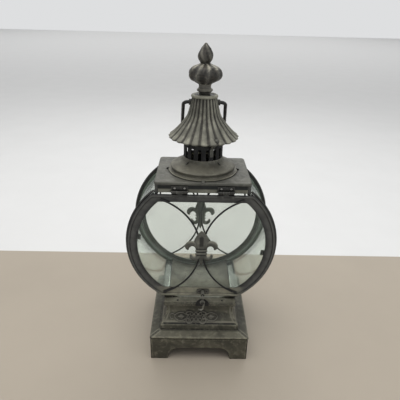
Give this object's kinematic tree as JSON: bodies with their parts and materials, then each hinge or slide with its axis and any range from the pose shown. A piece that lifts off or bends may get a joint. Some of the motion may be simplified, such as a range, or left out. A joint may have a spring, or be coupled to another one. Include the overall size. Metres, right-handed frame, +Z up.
{
  "type": "hurricane candle lantern",
  "caption": "Tall metal candle lantern: round glass drum with a top-hinged door on a bracket-foot base, under a roof with a fluted cowl, finial and swing handle.",
  "frame": {"origin": "centre of the base, on the plane it stands on", "axes": "+Z up through the finial, -Y towards the door, +X to the right seen from the door side"},
  "size_m": [0.18, 0.1312, 0.38],
  "materials": {
    "clear_glass": "clear float glass with a green tint at its cut edges",
    "worn_zinc": "aged zinc patina with rubbed light ridges",
    "cast_finial": "rough blotchy casting, satin",
    "cast_ornament": "rough dark casting, satin",
    "dark_iron": "near-black wire and flue metal, satin",
    "hinge_iron": "dull steel with bright rubbed rivet heads",
    "ring_zinc": "charcoal zinc patina, satin",
    "base_zinc": "warm grey zinc patina with worn light edges",
    "roof_zinc": "grey-green zinc patina, satin"
  },
  "bodies": {
    "lantern": {"base_panel_back": "base_zinc", "base_panel_front": "base_zinc", "base_panel_left": "base_zinc", "base_panel_right": "base_zinc", "chimney": "dark_iron", "cowl": "worn_zinc", "cowl_collar": "worn_zinc", "cowl_rivets": "roof_zinc", "cowl_straps": "roof_zinc", "dome": "roof_zinc", "drum_floor": "roof_zinc", "drum_front_rim": "ring_zinc", "fascia_back": "roof_zinc", "fascia_front": "roof_zinc", "fascia_left": "roof_zinc", "fascia_right": "roof_zinc", "finial_bud": "cast_finial", "finial_melon": "cast_finial", "finial_neck": "cast_finial", "finial_nut": "dark_iron", "finial_rod": "dark_iron", "floor_tray": "base_zinc", "folded_tabs": "roof_zinc", "handle_bushes": "hinge_iron", "hinge_leaf_left": "hinge_iron", "hinge_leaf_right": "hinge_iron", "hinge_pins": "hinge_iron", "hinge_rivets": "hinge_iron", "latch_bracket": "dark_iron", "latch_pin": "hinge_iron", "low_rest_left": "roof_zinc", "low_rest_right": "roof_zinc", "plinth_back": "base_zinc", "plinth_front": "base_zinc", "plinth_left": "base_zinc", "plinth_right": "base_zinc", "rear_fleur": "cast_ornament", "rear_frame": "ring_zinc", "rear_glass": "clear_glass", "rear_glass_clips": "ring_zinc", "rear_wires": "dark_iron", "rod_sleeve": "dark_iron", "roof_plate": "roof_zinc", "side_glass_left": "clear_glass", "side_glass_right": "clear_glass", "top_rests": "roof_zinc", "tray_rivets": "dark_iron"},
    "door": {"door_fleur": "cast_ornament", "door_frame": "ring_zinc", "door_glass": "clear_glass", "door_glass_clips": "ring_zinc", "door_leaf_left": "hinge_iron", "door_leaf_right": "hinge_iron", "door_wires": "dark_iron", "latch_keeper": "roof_zinc", "keeper_rivets": "hinge_iron"},
    "bail": {"bail_handle": "dark_iron"},
    "hook": {"latch_hook": "hinge_iron"}
  },
  "joints": [
    {"name": "door_hinge", "type": "hinge", "parent": "lantern", "child": "door", "pos_m": [0, -0.0429, 0.2275], "axis": [-1, 0, 0], "range_deg": [0, 100]},
    {"name": "bail_swing", "type": "hinge", "parent": "lantern", "child": "bail", "pos_m": [0, 0, 0.3186], "axis": [1, 0, 0], "range_deg": [0, 274]},
    {"name": "hook_turn", "type": "hinge", "parent": "lantern", "child": "hook", "pos_m": [0.003, -0.0529, 0.0824], "axis": [0, 1, 0], "range_deg": [0, 167]}
  ]
}
